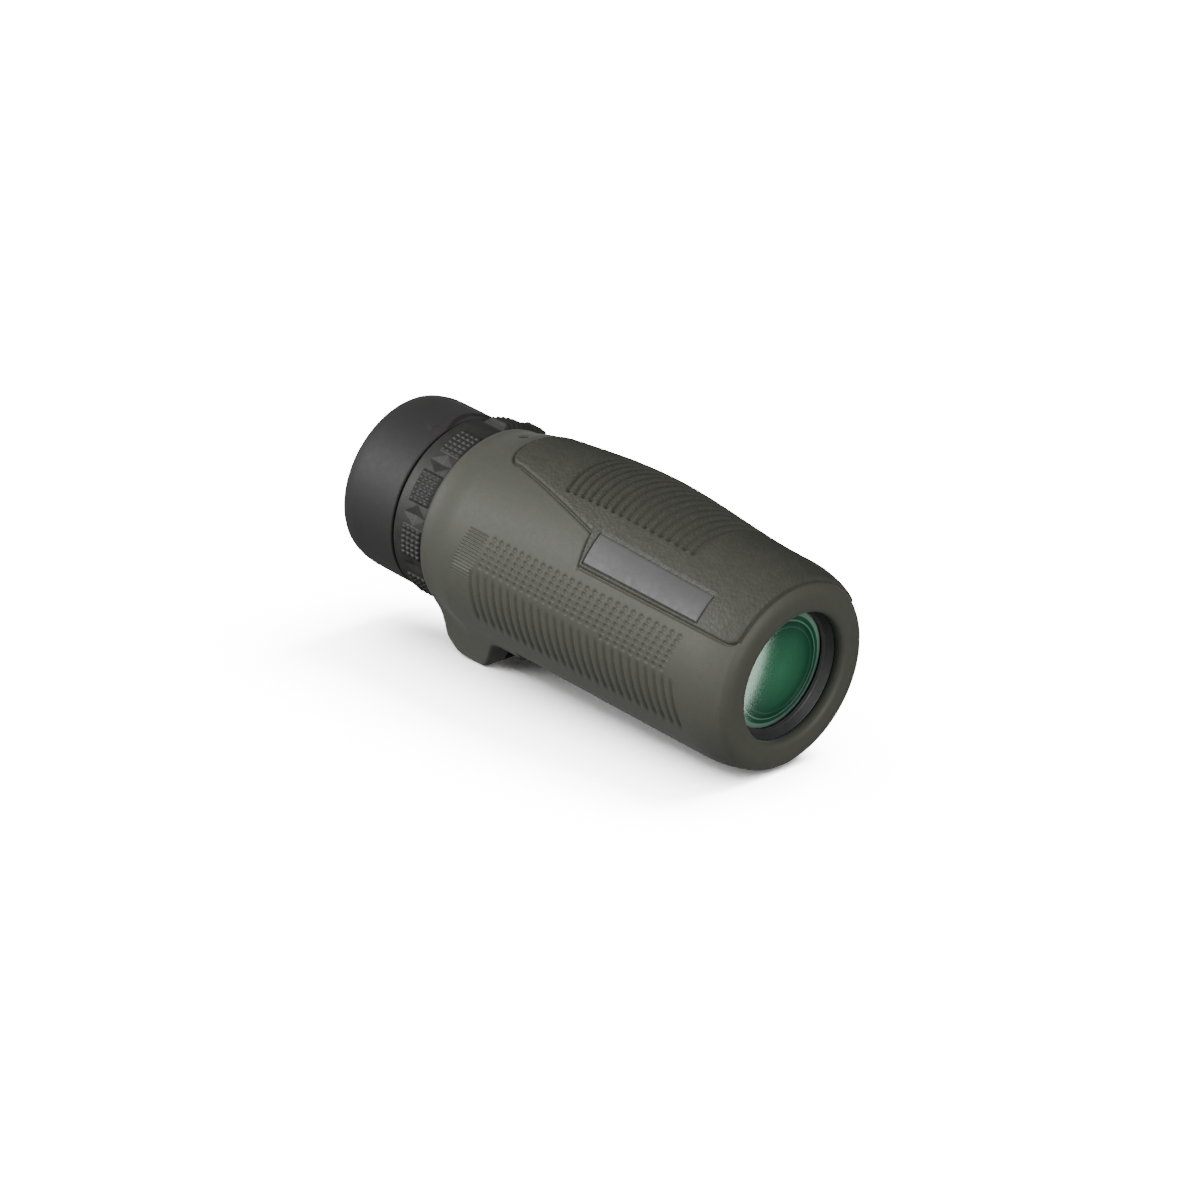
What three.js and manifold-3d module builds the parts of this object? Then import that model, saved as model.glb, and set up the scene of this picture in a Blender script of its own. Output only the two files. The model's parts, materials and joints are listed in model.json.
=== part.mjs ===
// A compact roof-prism monocular: rubber-armoured body, focus ring, ocular and twist-up eyecup.
// Millimetres. Everything is drawn round the optical axis, X, with the front face of the rim at
// x = 0, the objective towards +X and the top of the body towards +Z. The finished group is then
// laid down as the instrument lies on a table, on its lanyard lug and its front rim.
import * as THREE from "three";
import { mergeVertices } from "three/addons/utils/BufferGeometryUtils.js";
import Module from "manifold-3d";

const wasm = await Module();
wasm.setup();

// ---- Driving dimensions -------------------------------------------------------------------

const GAP = 0.3; // clearance between neighbouring pieces
const TURN = 2 * Math.PI;
const BODY_SEGMENTS = 36;
const OUTER_SEGMENTS = 32;
const INNER_SEGMENTS = 20;

// Body armour
const BODY_REAR_X = -86.3;
const BODY_R = 21.7; // sides and bottom
const COLLAR_DROP = 1.4; // how much slimmer the rear collar of the armour is
const COLLAR_END_X = -85;
const COLLAR_START_X = -77;
const NOSE_DROP = 2.1; // how much the nose tapers down to the front face
const NOSE_LENGTH = 10;
const BULGE = 2.85; // how far the back of the top rises above a round body
const BULGE_X = -48;
const BULGE_REACH = 38;
const OPENING_R = 14;
const LIP_DEPTH = 2.1; // length of the rim in front of the objective ring
const BORE_R = 19.9;
const REAR_BORE_R = 18.9;
const FRONT_BORE_R = 17.6;
const BORE_REAR_X = -79.3;
const BORE_FRONT_X = -12;

// Raised top panel and its ribs
const PANEL_RISE = 0.6;
const PANEL_SINK = 0.5;
const PANEL_FRONT_X = -1.5;
const PANEL_STEP_X = -42.2; // where the wide front part ends
const PANEL_REAR_X = -75.2;
const PANEL_HALF_WIDTH = 19.2;
const PANEL_STEP_HALF_WIDTH = 15.3;
const PANEL_REAR_HALF_WIDTH = 9.2;
const RIB_GROOVES = 17;
const RIB_FIRST_X = -57;
const RIB_LAST_X = -22.6;
const RIB_GROOVE_WIDTH = 1.1;
const RIB_GROOVE_DEPTH = 0.9;
const RIB_HALF_WIDTH = 10.8;

// Name plate
const PLATE_LENGTH = 30.2;
const PLATE_WIDTH = 6.4;
const PLATE_X = -26.4;
const PLATE_ANGLE = THREE.MathUtils.degToRad(47.8); // from the top, towards -Y
const PLATE_SEAT_INSET = 0.15; // the seat's floor lies this far under the armour's own surface
const PLATE_PROUD = 0.1; // how far the plate stands above the panel

// Focus index mark, a small inlay at the back of the top
const MARK_X = -79.3;
const MARK_LENGTH = 1.4;
const MARK_WIDTH = 2.2;
const MARK_FOOT_R = 20.5;

// Lanyard lug, and the eye that runs through it along the body
const LUG_DEPTH = 27.6; // optical axis to the lug's flat bottom
const LUG_FRONT_X = -76;
const LUG_REAR_X = -84;
const LUG_ROOT_DEPTH = 18; // inside the body
const LUG_HALF_WIDTH = 7.5;
const LUG_ROOT_HALF_WIDTH = 11.5;
const EYE_DEPTH = 24.1; // optical axis to the middle of the eye
const EYE_WIDTH = 7;
const EYE_HEIGHT = 4.9;
const EYE_CORNER = 1.1;

// Housing tube and rear collar
const HOUSING_R = BORE_R - GAP;
const HOUSING_WALL = 1.6;
const HOUSING_REAR_X = BORE_REAR_X + GAP;
const HOUSING_NOSE_R = FRONT_BORE_R - GAP;
const HOUSING_NOSE_X = BORE_FRONT_X - GAP;
const CELL_BORE_R = 15.6;
const CELL_BORE_END_X = -26;
const COLLAR_FRONT_X = HOUSING_REAR_X - GAP;
const COLLAR_REAR_X = -85.9;
const COLLAR_R = REAR_BORE_R - GAP;
const NECK_R = 16;
const NECK_BORE_R = 14.7;
const NECK_REAR_X = -94.3;
const GUIDE_SCREW_X = -83.4;

// Objective
const CELL_R = 15.2;
const CELL_REAR_X = -22;
const LENS_R = 12.9;
const LENS_FRONT_X = -3.6; // apex of the front surface
const LENS_CURVE_R = 62;
const CROWN_THICKNESS = 5.2;
const CEMENTED_CURVE_R = -48;
const LENS_SEAT_X = -12.6;
const APERTURE_R = 11.6;
const RETAINER_REAR_X = -7.6;
const BAFFLE_REAR_X = -40;

// Prisms
const CAGE_R = 17.6;
const CAGE_FRONT_X = -44;
const CAGE_REAR_X = -71;
const CAGE_WALL_X = 1.6;
const POCKET_HALF = 10.9;
const PRISM_HALF = 9.5;
const PRISM_FRONT_X = CAGE_FRONT_X - CAGE_WALL_X - 0.7;
const CAGE_SCREW_ANGLES = [1, 3, 5].map((sixth) => (sixth / 6) * TURN);
const CAGE_SCREW_X = -47;

// Focus ring
const RING_FRONT_X = BODY_REAR_X - GAP;
const RING_REAR_X = -95.3;
const RING_CORE_R = 18.3;
const GRIP_R = 19.8;
const GRIP_PADS = 8; // eight of ten places, the thumb tab taking the other two
const PAD_PITCH = TURN / 10;
const FIRST_PAD_ANGLE = THREE.MathUtils.degToRad(23.5); // from the top, towards -Y
const PAD_LENGTH = 5.6;
const PAD_WIDTH = 7;
const THUMB_TAB_R = 22.3;
const THUMB_TAB_LOW_R = 21; // its half nearer the top is a step lower
const THUMB_TAB_WIDTH = 8.4; // of each half

// Ocular
const BARREL_R = 14.3;
const BARREL_BORE_R = 12.2;
const BARREL_FRONT_X = -80.9;
const BARREL_REAR_X = -107.3;
const SKIRT_R = 17.2;
const FLANGE_FRONT_X = -95.9;
const FLANGE_REAR_X = -97.3;
const OCULAR_LENS_R = BARREL_BORE_R - GAP;

// Eyecup
const CUP_FRONT_X = -95.9;
const CUP_REAR_X = -112;
const CUP_R = 19.2;
const CUP_WALL = 1.1;
const SLEEVE_R = 17.7;
const SLEEVE_REAR_X = -106.2;
const CUP_TRAVEL = 6;
const TONGUE_R = 17; // the core's two tongues slide in the cam sleeve's grooves

// ---- Materials ----------------------------------------------------------------------------

function finish(color, roughness, metalness = 0) {
  return new THREE.MeshStandardMaterial({ color, roughness, metalness });
}

const ARMOUR_GREEN = finish(0x5a5c50, 0.72);
const PANEL_GREEN = finish(0x45463d, 0.8);
const BLACK_RUBBER = finish(0x2f2e2e, 0.75);
const BLACK_PLASTIC = finish(0x383636, 0.5);
const PLATE_GREY = finish(0x646464, 0.5);
const BLACKENED_METAL = finish(0x2b2b2d, 0.45, 0.8);
const BRIGHT_STEEL = finish(0x8c8e90, 0.35, 1);
const MAGNESIUM = finish(0x77797b, 0.5, 0.9);
const COATED_GLASS = finish(0x2f6b4a, 0.08);
const CLEAR_GLASS = finish(0xb9cfd2, 0.05);

// ---- Solids -------------------------------------------------------------------------------

// A manifold-3d solid from a closed three.js geometry.
function solid(geometry) {
  const bare = geometry.index ? geometry.toNonIndexed() : geometry.clone();
  bare.deleteAttribute("normal");
  bare.deleteAttribute("uv");
  const merged = mergeVertices(bare, 1e-3);
  const corners = Array.from(merged.index.array);
  const triVerts = [];
  for (let i = 0; i < corners.length; i += 3) {
    const [a, b, c] = corners.slice(i, i + 3);
    if (a !== b && b !== c && a !== c) triVerts.push(a, b, c);
  }
  return new wasm.Manifold(
    new wasm.Mesh({
      numProp: 3,
      vertProperties: merged.attributes.position.array,
      triVerts: new Uint32Array(triVerts),
    }),
  );
}

// The geometry of a solid, for a mesh.
function geometryOf(body) {
  const { vertProperties, triVerts } = body.getMesh();
  const geometry = new THREE.BufferGeometry();
  geometry.setAttribute("position", new THREE.BufferAttribute(vertProperties, 3));
  geometry.setIndex(new THREE.BufferAttribute(triVerts, 1));
  geometry.computeVertexNormals();
  return geometry;
}

// A ring or plug turned round the optical axis from [x, radius] points.
function turned(points, segments = INNER_SEGMENTS) {
  const area = points.reduce((sum, [x, r], i) => {
    const [nextX, nextR] = points[(i + 1) % points.length];
    return sum + x * nextR - nextX * r;
  }, 0);
  const ordered = area > 0 ? [...points].reverse() : [...points];
  const touchesAxis = points.some(([, r]) => r === 0);
  if (!touchesAxis) ordered.push(ordered[0]);
  const profile = ordered.map(([x, r]) => new THREE.Vector2(r, x));
  return new THREE.LatheGeometry(profile, segments).rotateZ(-Math.PI / 2);
}

// A plain tube round the optical axis.
function tube(rearX, frontX, innerR, outerR, segments = INNER_SEGMENTS) {
  return turned(
    [
      [rearX, innerR],
      [frontX, innerR],
      [frontX, outerR],
      [rearX, outerR],
    ],
    segments,
  );
}

// A solid disc round the optical axis.
function disc(rearX, frontX, radius) {
  return turned([
    [rearX, 0],
    [rearX, radius],
    [frontX, radius],
    [frontX, 0],
  ]);
}

// A round seal: a ring of octagonal section.
function sealRing(x, meanR, sectionR) {
  const points = [];
  for (let i = 0; i < 8; i++) {
    const angle = ((i + 0.5) / 8) * TURN;
    points.push([x + sectionR * Math.cos(angle), meanR + sectionR * Math.sin(angle)]);
  }
  return turned(points);
}

// A lens between two spherical surfaces. A curve's sign says which way its middle bows:
// positive towards the objective, negative towards the eye, and 0 is flat.
function lens(frontX, thickness, radius, frontCurveR, rearCurveR) {
  const steps = 3;
  const sag = (curveR, r) =>
    curveR === 0 ? 0 : Math.sign(curveR) * (Math.abs(curveR) - Math.sqrt(curveR ** 2 - r ** 2));
  const points = [];
  for (let i = 0; i <= steps; i++) {
    const r = (radius * i) / steps;
    points.push([frontX - sag(frontCurveR, r), r]);
  }
  for (let i = steps; i >= 0; i--) {
    const r = (radius * i) / steps;
    points.push([frontX - thickness - sag(rearCurveR, r), r]);
  }
  const profile = points.map(([x, r]) => new THREE.Vector2(r, x));
  return new THREE.LatheGeometry(profile.reverse(), INNER_SEGMENTS).rotateZ(-Math.PI / 2);
}

// An outline of [x, z] points, extruded along Y between two values.
function sideExtrusion(points, fromY, toY) {
  const shape = new THREE.Shape(points.map(([x, z]) => new THREE.Vector2(x, z)));
  const geometry = new THREE.ExtrudeGeometry(shape, { depth: toY - fromY, bevelEnabled: false });
  return geometry.rotateX(Math.PI / 2).translate(0, toY, 0);
}

// An outline of [y, z] points, extruded along X between two values.
function axialExtrusion(points, fromX, toX) {
  const shape = new THREE.Shape(points.map(([y, z]) => new THREE.Vector2(y, z)));
  const geometry = new THREE.ExtrudeGeometry(shape, { depth: toX - fromX, bevelEnabled: false });
  return geometry.rotateY(Math.PI / 2).rotateX(Math.PI / 2).translate(fromX, 0, 0);
}

// An outline of [x, y] points, extruded along Z between two values.
function uprightExtrusion(points, fromZ, toZ) {
  const shape = new THREE.Shape(points.map(([x, y]) => new THREE.Vector2(x, y)));
  const geometry = new THREE.ExtrudeGeometry(shape, { depth: toZ - fromZ, bevelEnabled: false });
  return geometry.translate(0, 0, fromZ);
}

// A box whose outward side faces the given angle from the top, between two radii.
function radialBox(x, angle, length, width, innerR, outerR) {
  return new THREE.BoxGeometry(length, width, outerR - innerR)
    .translate(x, 0, (innerR + outerR) / 2)
    .rotateX(angle);
}

// A round pin standing on the optical axis's normal at the given angle from the top.
function radialPin(x, angle, radius, innerR, outerR) {
  return new THREE.CylinderGeometry(radius, radius, outerR - innerR, 12)
    .rotateX(Math.PI / 2)
    .translate(x, 0, (innerR + outerR) / 2)
    .rotateX(angle);
}

function smooth(value, from, to) {
  return THREE.MathUtils.smoothstep(value, from, to);
}

// ---- Body surface -------------------------------------------------------------------------

const BODY_STATIONS = [
  BODY_REAR_X, -84, -81.8, -79.8, -77, -72, -66, -60, -54, -48, -42, -36, -30, -24, -18, -13,
  -9, -6, -3.5, -1.6, -0.7,
];

// Distance from the optical axis to the armour's surface, at a place along it and an angle from
// the top. The body is round, slimmer at its rear collar and its nose, with a raised back.
function bodyRadius(x, angle) {
  const collar = COLLAR_DROP * (1 - smooth(x, COLLAR_END_X, COLLAR_START_X));
  const nose = NOSE_DROP * THREE.MathUtils.clamp(1 + x / NOSE_LENGTH, 0, 1) ** 2;
  const along = THREE.MathUtils.clamp((x - BULGE_X) / BULGE_REACH, -1, 1);
  const lengthwise = Math.cos((along * Math.PI) / 2) ** 2;
  const crosswise = ((1 + Math.cos(angle)) / 2) ** 2;
  return BODY_R - collar - nose + BULGE * lengthwise * crosswise;
}

// The closed solid inside the body surface, grown or shrunk by an offset.
function bodyBlank(offset) {
  const rings = BODY_STATIONS.map((x) => ({ x, inset: 0 }));
  rings.push({ x: 0, inset: 0.75 });
  if (offset === 0) rings.push({ x: 0.4, inset: 2.4 });
  const vertices = [];
  for (const { x, inset } of rings) {
    for (let i = 0; i < BODY_SEGMENTS; i++) {
      const angle = ((i + 0.5) / BODY_SEGMENTS) * TURN;
      const r = bodyRadius(x, angle) + offset - inset;
      vertices.push(x, -r * Math.sin(angle), r * Math.cos(angle));
    }
  }
  const rearCentre = vertices.length / 3;
  vertices.push(rings[0].x, 0, 0);
  vertices.push(rings[rings.length - 1].x, 0, 0);
  const faces = [];
  const lastRing = (rings.length - 1) * BODY_SEGMENTS;
  for (let i = 0; i < BODY_SEGMENTS; i++) {
    const next = (i + 1) % BODY_SEGMENTS;
    for (let start = 0; start < lastRing; start += BODY_SEGMENTS) {
      const [a, b] = [start + i, start + next];
      const [c, d] = [a + BODY_SEGMENTS, b + BODY_SEGMENTS];
      faces.push(a, b, d, a, d, c);
    }
    faces.push(rearCentre, next, i);
    faces.push(rearCentre + 1, lastRing + i, lastRing + next);
  }
  const geometry = new THREE.BufferGeometry();
  geometry.setAttribute("position", new THREE.Float32BufferAttribute(vertices, 3));
  geometry.setIndex(faces);
  return solid(geometry);
}

// ---- Armour, panel and plate --------------------------------------------------------------

// The panel's outline seen from above, grown by a margin.
function panelOutline(margin) {
  const side = [
    [PANEL_FRONT_X + margin, PANEL_HALF_WIDTH - 2.2 + margin],
    [PANEL_FRONT_X - 2.2 + margin, PANEL_HALF_WIDTH + margin],
    [PANEL_STEP_X - margin, PANEL_HALF_WIDTH + margin],
    [PANEL_STEP_X - 1.6 - margin, PANEL_STEP_HALF_WIDTH + margin],
  ];
  const endRadius = PANEL_REAR_HALF_WIDTH;
  const endX = PANEL_REAR_X + endRadius * 0.55;
  for (let i = 0; i <= 6; i++) {
    const angle = (i / 6) * (Math.PI / 2);
    side.push([
      endX - (endRadius * 0.55 + margin) * Math.sin(angle),
      (endRadius + margin) * Math.cos(angle) ** 0.8,
    ]);
  }
  side[side.length - 1][1] = 0;
  const mirrored = side
    .slice(0, -1)
    .reverse()
    .map(([x, y]) => [x, -y]);
  return [...side, ...mirrored];
}

function panelPrism(margin) {
  return solid(uprightExtrusion(panelOutline(margin), 4, 30));
}

function plateBox(margin) {
  const length = PLATE_LENGTH + 2 * margin;
  const width = PLATE_WIDTH + 2 * margin;
  return solid(radialBox(PLATE_X, PLATE_ANGLE, length, width, 15, 30));
}

function lugBlank() {
  const side = [
    [BODY_REAR_X, -LUG_ROOT_DEPTH],
    [BODY_REAR_X, -LUG_DEPTH + 4.4],
    [BODY_REAR_X + 0.8, -LUG_DEPTH + 1.8],
    [LUG_REAR_X, -LUG_DEPTH],
    [LUG_FRONT_X, -LUG_DEPTH],
    [LUG_FRONT_X + 1.2, -LUG_DEPTH + 0.8],
    [LUG_FRONT_X + 3.5, -LUG_DEPTH + 6.1],
    [LUG_FRONT_X + 6, -LUG_ROOT_DEPTH],
  ];
  const across = [
    [-LUG_ROOT_HALF_WIDTH, -LUG_ROOT_DEPTH + 2],
    [-LUG_ROOT_HALF_WIDTH, -LUG_ROOT_DEPTH - 1],
    [-LUG_HALF_WIDTH - 1, -LUG_DEPTH + 1.2],
    [-LUG_HALF_WIDTH, -LUG_DEPTH],
    [LUG_HALF_WIDTH, -LUG_DEPTH],
    [LUG_HALF_WIDTH + 1, -LUG_DEPTH + 1.2],
    [LUG_ROOT_HALF_WIDTH, -LUG_ROOT_DEPTH - 1],
    [LUG_ROOT_HALF_WIDTH, -LUG_ROOT_DEPTH + 2],
  ];
  return solid(sideExtrusion(side, -20, 20)).intersect(solid(axialExtrusion(across, -90, -60)));
}

function strapEye() {
  const [y, top, bottom] = [EYE_WIDTH / 2, EYE_HEIGHT / 2 - EYE_DEPTH, -EYE_HEIGHT / 2 - EYE_DEPTH];
  const outline = [
    [-y, top - EYE_CORNER],
    [-y, bottom + EYE_CORNER],
    [-y + EYE_CORNER, bottom],
    [y - EYE_CORNER, bottom],
    [y, bottom + EYE_CORNER],
    [y, top - EYE_CORNER],
    [y - EYE_CORNER, top],
    [-y + EYE_CORNER, top],
  ];
  return solid(axialExtrusion(outline, BODY_REAR_X - 2, LUG_FRONT_X + 5));
}

function bodyArmour(blank) {
  const bore = turned(
    [
      [BODY_REAR_X - 2, 0],
      [BODY_REAR_X - 2, REAR_BORE_R],
      [BORE_REAR_X, REAR_BORE_R],
      [BORE_REAR_X, BORE_R],
      [BORE_FRONT_X, BORE_R],
      [BORE_FRONT_X, FRONT_BORE_R],
      [-LIP_DEPTH, FRONT_BORE_R],
      [-LIP_DEPTH, OPENING_R],
      [-0.3, OPENING_R],
      [1, OPENING_R + 1.3],
      [1, 0],
    ],
    BODY_SEGMENTS,
  );
  const recess = panelPrism(GAP).subtract(bodyBlank(-PANEL_SINK - GAP));
  return blank
    .add(lugBlank())
    .subtract(strapEye())
    .subtract(solid(bore))
    .subtract(recess)
    .subtract(solid(indexPocket(GAP)));
}

function topGripPanel() {
  const skin = bodyBlank(PANEL_RISE).subtract(bodyBlank(-PANEL_SINK));
  let grooves = null;
  for (let i = 0; i < RIB_GROOVES; i++) {
    const x = THREE.MathUtils.lerp(RIB_FIRST_X, RIB_LAST_X, i / (RIB_GROOVES - 1));
    const floorR = bodyRadius(x, 0) + PANEL_RISE - RIB_GROOVE_DEPTH;
    const halfWidth = RIB_GROOVE_WIDTH / 2;
    const groove = solid(tube(x - halfWidth, x + halfWidth, floorR, 30, BODY_SEGMENTS));
    grooves = grooves ? grooves.add(groove) : groove;
  }
  const ribField = new THREE.BoxGeometry(60, 2 * RIB_HALF_WIDTH, 20).translate(-40, 0, 26);
  const plateSeat = plateBox(GAP).subtract(bodyBlank(-PLATE_SEAT_INSET));
  return skin
    .intersect(panelPrism(0))
    .subtract(grooves.intersect(solid(ribField)))
    .subtract(plateSeat);
}

function namePlate() {
  const skin = bodyBlank(PANEL_RISE + PLATE_PROUD).subtract(bodyBlank(-PLATE_SEAT_INSET + GAP));
  return skin.intersect(plateBox(0));
}

function indexPocket(margin) {
  const length = MARK_LENGTH + 2 * margin;
  return radialBox(MARK_X, 0, length, MARK_WIDTH + 2 * margin, MARK_FOOT_R - margin, 24);
}

function focusIndexMark(blank) {
  return solid(indexPocket(0)).intersect(blank);
}

// ---- Housing and rear collar --------------------------------------------------------------

function housingTube() {
  const boreR = HOUSING_R - HOUSING_WALL;
  let body = solid(
    turned(
      [
        [HOUSING_REAR_X, boreR],
        [HOUSING_REAR_X, HOUSING_R],
        [HOUSING_NOSE_X, HOUSING_R],
        [HOUSING_NOSE_X, HOUSING_NOSE_R],
        [-LIP_DEPTH - GAP, HOUSING_NOSE_R],
        [-LIP_DEPTH - GAP, CELL_BORE_R],
        [CELL_BORE_END_X, CELL_BORE_R],
        [CELL_BORE_END_X - 2, boreR],
      ],
      OUTER_SEGMENTS,
    ),
  );
  for (const angle of CAGE_SCREW_ANGLES) {
    body = body.subtract(solid(radialPin(CAGE_SCREW_X, angle, 1.8, 17, 21)));
  }
  return body;
}

function rearCollar() {
  const body = solid(
    turned([
      [COLLAR_REAR_X, COLLAR_R],
      [COLLAR_FRONT_X, COLLAR_R],
      [COLLAR_FRONT_X, NECK_BORE_R],
      [NECK_REAR_X, NECK_BORE_R],
      [NECK_REAR_X, NECK_R],
      [COLLAR_REAR_X, NECK_R],
    ]),
  );
  return body.subtract(solid(radialPin(GUIDE_SCREW_X, Math.PI, 1.3, 12, 21)));
}

function guideScrew() {
  return radialPin(GUIDE_SCREW_X, Math.PI, 0.95, 13.4, 18.4);
}

// ---- Objective ----------------------------------------------------------------------------

function objectiveRetainingRing() {
  return turned(
    [
      [-LIP_DEPTH - GAP, 14.1],
      [-LIP_DEPTH - GAP, CELL_R],
      [RETAINER_REAR_X, CELL_R],
      [RETAINER_REAR_X, 14.5],
      [-4.7, 14.5],
      [-4.55, 12.6],
      [-4.25, 12.6],
      [-4.2, 13.3],
    ],
    OUTER_SEGMENTS,
  );
}

function objectiveCell() {
  return turned([
    [RETAINER_REAR_X - GAP, CELL_R],
    [CELL_REAR_X, CELL_R],
    [CELL_REAR_X, APERTURE_R],
    [LENS_SEAT_X, APERTURE_R],
    [LENS_SEAT_X, LENS_R + GAP],
    [-5.5, LENS_R + GAP],
    [-5.5, 14.1],
    [RETAINER_REAR_X - GAP, 14.1],
  ]);
}

function objectiveCrown() {
  return lens(LENS_FRONT_X, CROWN_THICKNESS, LENS_R, LENS_CURVE_R, CEMENTED_CURVE_R);
}

function objectiveFlint() {
  return lens(LENS_FRONT_X - CROWN_THICKNESS - GAP, 2.2, LENS_R, CEMENTED_CURVE_R, 160);
}

function objectiveBaffle() {
  return turned([
    [CELL_REAR_X - GAP, 11.4],
    [CELL_REAR_X - GAP, CELL_R],
    [CELL_REAR_X - 1.4, CELL_R],
    [CELL_REAR_X - 1.4, 12.2],
    [BAFFLE_REAR_X, 10.2],
    [BAFFLE_REAR_X, 9.4],
  ]);
}

// ---- Prisms -------------------------------------------------------------------------------

function prismCage() {
  const pocketRearX = CAGE_REAR_X - 1;
  const pocket = [
    [-POCKET_HALF, -POCKET_HALF],
    [POCKET_HALF, -POCKET_HALF],
    [POCKET_HALF, POCKET_HALF],
    [-POCKET_HALF, POCKET_HALF],
  ];
  let body = solid(tube(CAGE_REAR_X, CAGE_FRONT_X, 9, CAGE_R, 36)).subtract(
    solid(axialExtrusion(pocket, pocketRearX, CAGE_FRONT_X - CAGE_WALL_X)),
  );
  for (const angle of CAGE_SCREW_ANGLES) {
    body = body.subtract(solid(radialPin(CAGE_SCREW_X, angle, 1.15, 14, 21)));
  }
  return body;
}

function cageScrew(angle) {
  const head = solid(radialPin(CAGE_SCREW_X, angle, 1.4, 18, 19.2));
  const shank = solid(radialPin(CAGE_SCREW_X, angle, 0.8, 14.6, 18.1));
  return geometryOf(head.add(shank));
}

// The first prism: light enters its upright face and leaves by the face at 45 degrees.
function halfPentaPrism() {
  const outline = [
    [PRISM_FRONT_X, PRISM_HALF],
    [PRISM_FRONT_X - 13.2, PRISM_HALF - 13.2],
    [PRISM_FRONT_X, -PRISM_HALF + 0.3],
  ];
  return sideExtrusion(outline, -PRISM_HALF, PRISM_HALF);
}

// The second prism: its roof, two faces at a right angle, is along its top.
function schmidtRoofPrism() {
  const rearX = PRISM_FRONT_X - 20.4;
  const ridge = PRISM_HALF + 0.9;
  const outline = [
    [PRISM_FRONT_X - 1.2, PRISM_HALF - 0.6],
    [PRISM_FRONT_X - 6, ridge],
    [rearX, PRISM_HALF - 4.6],
    [rearX, PRISM_HALF - 18.8],
    [rearX + 1, PRISM_HALF - 18.8],
  ];
  const block = solid(sideExtrusion(outline, -PRISM_HALF, PRISM_HALF));
  const roof = new THREE.BoxGeometry(60, 18, 18)
    .rotateX(Math.PI / 4)
    .translate(PRISM_FRONT_X - 10, 0, ridge - 18 * Math.SQRT1_2);
  return block.intersect(solid(roof));
}

// A thin sprung strip that holds a prism against its seat.
function prismClip(side) {
  const outerY = POCKET_HALF - 0.25;
  const x = (CAGE_FRONT_X + CAGE_REAR_X) / 2;
  const outline = [
    [x - 9, outerY],
    [x, outerY - 0.55],
    [x + 9, outerY],
    [x + 9, outerY - 0.3],
    [x, outerY - 0.85],
    [x - 9, outerY - 0.3],
  ].map(([along, across]) => [along, side * across]);
  return uprightExtrusion(outline, -3, 3);
}

// ---- Focus ring ---------------------------------------------------------------------------

function focusRing() {
  return turned(
    [
      [RING_FRONT_X, NECK_R + 0.4],
      [RING_FRONT_X, RING_CORE_R],
      [RING_REAR_X, RING_CORE_R],
      [RING_REAR_X, SKIRT_R + 0.4],
      [-89.6, SKIRT_R + 0.4],
      [-89.6, NECK_R + 0.4],
    ],
    OUTER_SEGMENTS,
  );
}

function focusGrip() {
  const padX = (RING_FRONT_X + RING_REAR_X) / 2 + 0.8;
  const footR = RING_CORE_R + 2 * GAP;
  let body = solid(
    tube(RING_REAR_X, RING_FRONT_X, RING_CORE_R + GAP, GRIP_R - 0.5, OUTER_SEGMENTS),
  );
  for (let i = 0; i < GRIP_PADS; i++) {
    const angle = FIRST_PAD_ANGLE + i * PAD_PITCH;
    const pad = radialBox(padX, angle, PAD_LENGTH, PAD_WIDTH, footR, GRIP_R + 0.1);
    body = body.add(solid(pad));
  }
  const tabHalves = [
    [-1.8, THUMB_TAB_R],
    [-1.2, THUMB_TAB_LOW_R],
  ];
  for (const [places, topR] of tabHalves) {
    const angle = FIRST_PAD_ANGLE + places * PAD_PITCH;
    const half = radialBox(padX, angle, PAD_LENGTH, THUMB_TAB_WIDTH, footR, topR);
    body = body.add(solid(half));
  }
  return body;
}

// ---- Ocular -------------------------------------------------------------------------------

function ocularBarrel() {
  const body = solid(
    turned(
      [
        [BARREL_FRONT_X, BARREL_BORE_R],
        [BARREL_FRONT_X, BARREL_R],
        [FLANGE_FRONT_X + 0.9, BARREL_R],
        [FLANGE_FRONT_X + 0.9, 16.5],
        [-90.3, 16.5],
        [-90.3, SKIRT_R],
        [FLANGE_REAR_X, SKIRT_R],
        [FLANGE_REAR_X, BARREL_R],
        [BARREL_REAR_X, BARREL_R],
        [BARREL_REAR_X, BARREL_BORE_R],
      ],
      OUTER_SEGMENTS,
    ),
  );
  const keyway = radialBox(-85, Math.PI, 12, 2.6, 13.1, 14.6);
  const sealGroove = tube(-91.9, -90.5, 13.5, 15);
  return body.subtract(solid(keyway)).subtract(solid(sealGroove));
}

function fieldStop() {
  return tube(-82.2, -81.2, 8, OCULAR_LENS_R);
}

function eyeLensRetainer() {
  return turned([
    [BARREL_REAR_X + 0.2, OCULAR_LENS_R],
    [-103.9, OCULAR_LENS_R],
    [-103.9, 9.4],
    [-104.5, 9.4],
    [BARREL_REAR_X + 0.2, 10.8],
  ]);
}

// ---- Eyecup -------------------------------------------------------------------------------

function eyecupCamSleeve() {
  const body = solid(
    tube(SLEEVE_REAR_X, FLANGE_REAR_X - GAP, BARREL_R + 0.5, SLEEVE_R, OUTER_SEGMENTS),
  );
  const slots = new THREE.BoxGeometry(8, 60, 2.6).translate(SLEEVE_REAR_X + 3, 0, 0);
  const core = disc(SLEEVE_REAR_X - 3, FLANGE_REAR_X, 16.2);
  return body.subtract(solid(slots).subtract(solid(core)));
}

function sleeveRetainer() {
  return tube(BARREL_REAR_X, SLEEVE_REAR_X - GAP, BARREL_R + GAP, 15.6);
}

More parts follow.
